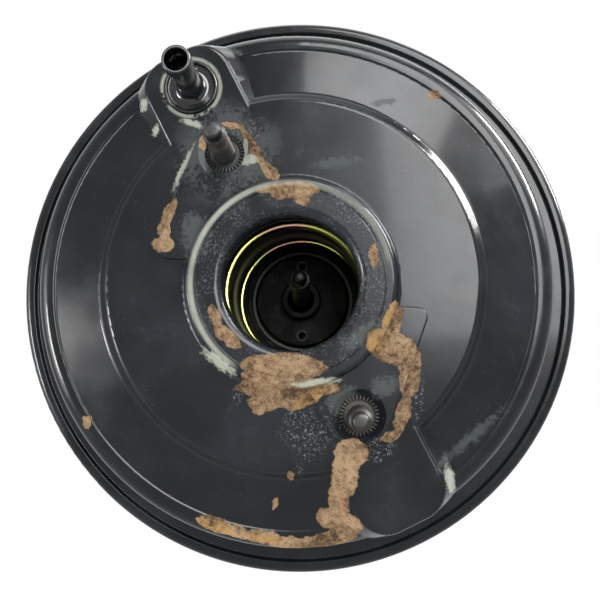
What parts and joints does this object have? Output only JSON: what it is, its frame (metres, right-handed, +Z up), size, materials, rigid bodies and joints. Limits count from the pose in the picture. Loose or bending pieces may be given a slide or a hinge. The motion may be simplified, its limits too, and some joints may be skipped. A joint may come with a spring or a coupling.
{
  "type": "vacuum brake booster",
  "caption": "Round vacuum brake booster with stamped shells, diagonal studs, vacuum pipe, sprung power piston, loose output rod and a clevis on its input rod.",
  "frame": {"origin": "centre of the firewall stud pattern, in the plane where the gasket meets the firewall", "axes": "+Y along the booster's axis towards the pedal, -Y towards the master cylinder, +Z up as in the picture, +X to the right seen from the front"},
  "size_m": [0.224, 0.2725, 0.224],
  "materials": {
    "black_paint": "gloss black paint, rusted in patches",
    "plain_steel": "plain pressed steel",
    "stud_steel": "dark phosphated steel",
    "gasket_fibre": "matt",
    "black_rubber": "matt",
    "nylon": "satin",
    "yellow_zinc": "yellow zinc plate",
    "yellow_zinc_steel": "yellow zinc plate",
    "phenolic": "dark moulded resin",
    "spring_steel": "bright",
    "felt": "felt",
    "foam": "open foam"
  },
  "bodies": {
    "shell": {"front_shell": "black_paint", "rear_shell": "black_paint", "front_reinforcement_plate": "plain_steel", "rear_reinforcement_plate": "plain_steel", "master_cylinder_studs": "stud_steel", "firewall_studs": "stud_steel", "vacuum_pipe": "black_paint", "pipe_backing_ring": "plain_steel", "firewall_gasket": "gasket_fibre", "neck_seal_retainer": "plain_steel", "neck_seal": "black_rubber", "neck_bearing": "nylon", "diaphragm": "black_rubber", "dust_boot": "black_rubber", "return_spring": "yellow_zinc", "front_spring_seat": "plain_steel"},
    "power_piston": {"valve_body": "phenolic", "diaphragm_plate": "plain_steel", "rear_spring_seat": "plain_steel", "reaction_disc": "black_rubber", "reaction_cup": "plain_steel", "output_rod_retainer": "plain_steel", "stop_key": "plain_steel", "poppet_valve": "black_rubber", "poppet_insert": "plain_steel", "poppet_retainer": "plain_steel", "poppet_spring": "spring_steel", "silencer_felt": "felt", "air_filter": "foam", "rod_return_spring": "spring_steel"},
    "output_rod": {"output_rod": "yellow_zinc_steel", "output_rod_tip": "plain_steel"},
    "input_rod": {"plunger": "nylon", "input_rod": "yellow_zinc_steel", "rod_spring_seat": "plain_steel", "lock_nut": "yellow_zinc_steel", "clevis": "yellow_zinc_steel"}
  },
  "joints": [
    {"name": "booster_stroke", "type": "slide", "parent": "shell", "child": "power_piston", "axis": [0, -1, 0], "range_m": [0, 0.03], "stiffness_N_per_m": 3500, "springref_m": -0.04, "deforming": ["return_spring", "diaphragm", "dust_boot"]},
    {"name": "valve_stroke", "type": "slide", "parent": "power_piston", "child": "input_rod", "axis": [0, -1, 0], "range_m": [0, 0.0012], "stiffness_N_per_m": 6000, "springref_m": -0.006, "deforming": ["rod_return_spring"]},
    {"name": "output_rod_swing", "type": "hinge", "parent": "power_piston", "child": "output_rod", "pos_m": [0, -0.0255, 0], "axis": [0.866, 0, -0.5], "range_deg": [0, 8]}
  ]
}
